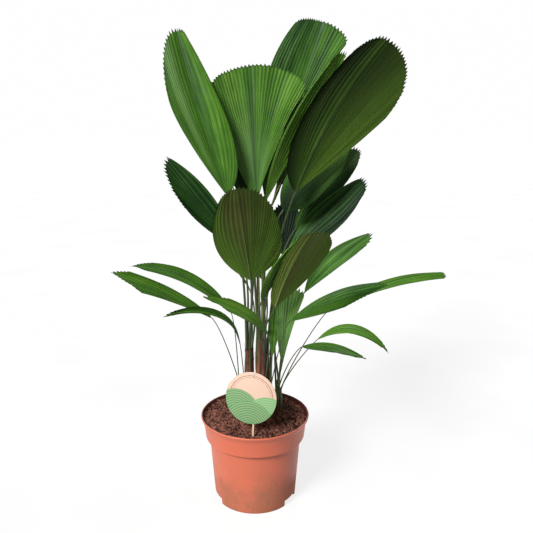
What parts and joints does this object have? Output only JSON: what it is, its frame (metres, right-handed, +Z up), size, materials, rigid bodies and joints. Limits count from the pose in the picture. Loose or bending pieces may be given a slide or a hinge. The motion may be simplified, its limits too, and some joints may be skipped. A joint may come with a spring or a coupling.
{
  "type": "potted ruffled fan palm",
  "caption": "Ruffled fan palm clump with round pleated leaves on slender stalks, growing from short stems in a round plastic pot with a plant tag.",
  "frame": {"origin": "middle of the pot's flat underside", "axes": "+Z up, -Y towards the front of the plant, +X to its right"},
  "size_m": [0.6031, 0.4483, 0.9093],
  "materials": {
    "pot": "matte terracotta-coloured plastic, dusty near the foot",
    "soil": "crumbly dark brown potting soil",
    "stem": "fibrous brown leaf sheaths",
    "stalk": "smooth green leaf stalk",
    "leaf": "pleated satin green leaf",
    "tag": "printed card",
    "stick": "plain wood"
  },
  "bodies": {
    "root": {"pot": "pot", "soil": "soil", "stem_left": "stem", "stem_middle": "stem", "stem_back": "stem", "stem_right": "stem", "frond_left_tall": "leaf", "frond_left_rear": "leaf", "frond_centre_fan": "leaf", "frond_top_fan": "leaf", "frond_top_edge": "leaf", "frond_inner_dark": "leaf", "frond_right_tall": "leaf", "frond_right_under": "leaf", "frond_right_mid": "leaf", "frond_right_rear": "leaf", "frond_centre_rear": "leaf", "frond_front_right": "leaf", "frond_front_slim": "leaf", "frond_front_centre": "leaf", "frond_left_mid": "leaf", "frond_spear_mid": "leaf", "stalk_right_long": "stalk", "blade_right_long": "leaf", "stalk_right_longest": "stalk", "blade_right_longest": "leaf", "stalk_right_arch": "stalk", "blade_right_arch": "leaf", "stalk_right_low": "stalk", "blade_right_low": "leaf", "stalk_left_long": "stalk", "blade_left_long": "leaf", "stalk_left_arch": "stalk", "blade_left_arch": "leaf", "stalk_front_low": "stalk", "blade_front_low": "leaf", "stalk_left_low": "stalk", "blade_left_low": "leaf", "frond_spear_right": "leaf", "frond_spear_small": "leaf", "frond_rear_tall": "leaf", "frond_rear_high": "leaf", "frond_rear_right": "leaf", "frond_rear_middle": "leaf", "frond_rear_left": "leaf", "frond_rear_low_right": "leaf", "frond_rear_low_left": "leaf", "tag_disc": "tag", "tag_stick": "stick"}
  },
  "joints": []
}
